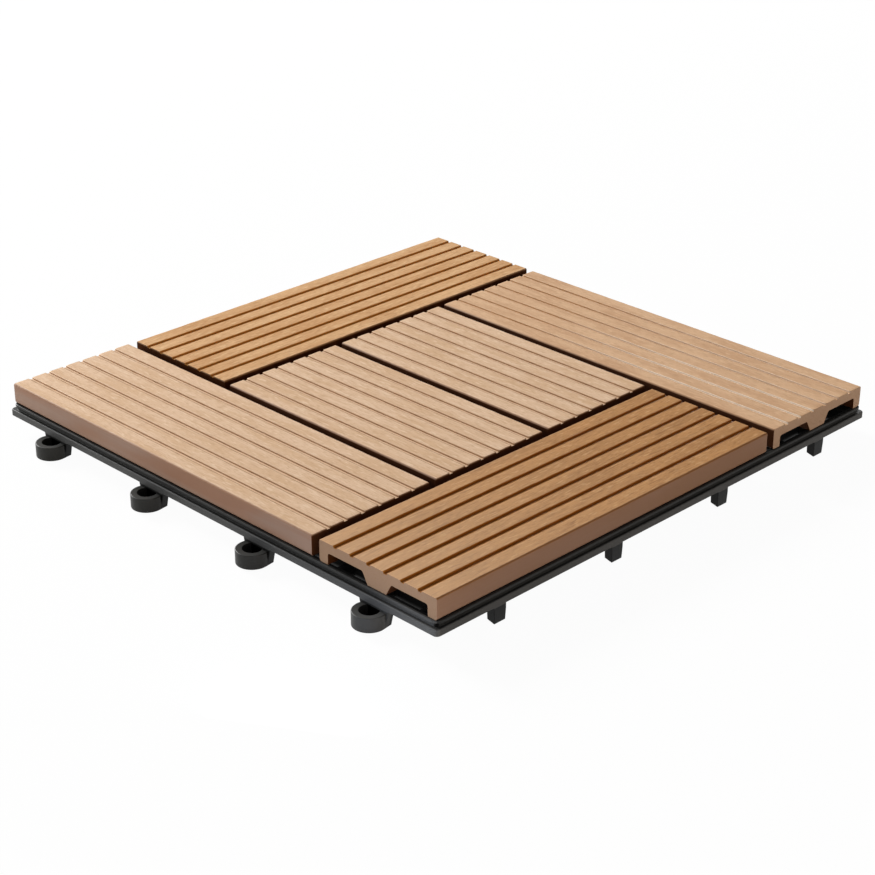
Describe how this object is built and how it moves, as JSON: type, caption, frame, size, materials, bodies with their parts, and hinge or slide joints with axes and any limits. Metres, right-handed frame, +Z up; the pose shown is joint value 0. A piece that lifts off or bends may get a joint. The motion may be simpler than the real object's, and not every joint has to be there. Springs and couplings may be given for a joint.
{
  "type": "interlocking deck tile",
  "caption": "Square outdoor floor tile of grooved hollow composite boards laid as a pinwheel on a moulded base grid, with loops and pins along its edges that clip it to the next tiles.",
  "frame": {"origin": "the tile's centre on the ground, in the middle of the sole of the middle post", "axes": "+Z up; the loops stand out of the -X and -Y sides and the pins hang under the +X and +Y sides; the two inner boards run along X"},
  "size_m": [0.3102, 0.3102, 0.025],
  "materials": {
    "wood_composite": "extruded wood and plastic composite with brushed tops",
    "grid_plastic": "dark grey injection-moulded polypropylene, satin",
    "screw_steel": "bright zinc plate"
  },
  "bodies": {
    "root": {"front_board": "wood_composite", "right_board": "wood_composite", "back_board": "wood_composite", "left_board": "wood_composite", "inner_front_board": "wood_composite", "inner_back_board": "wood_composite", "front_board_screws": "screw_steel", "right_board_screws": "screw_steel", "back_board_screws": "screw_steel", "left_board_screws": "screw_steel", "inner_front_board_screws": "screw_steel", "inner_back_board_screws": "screw_steel", "base_grid": "grid_plastic"}
  },
  "joints": []
}
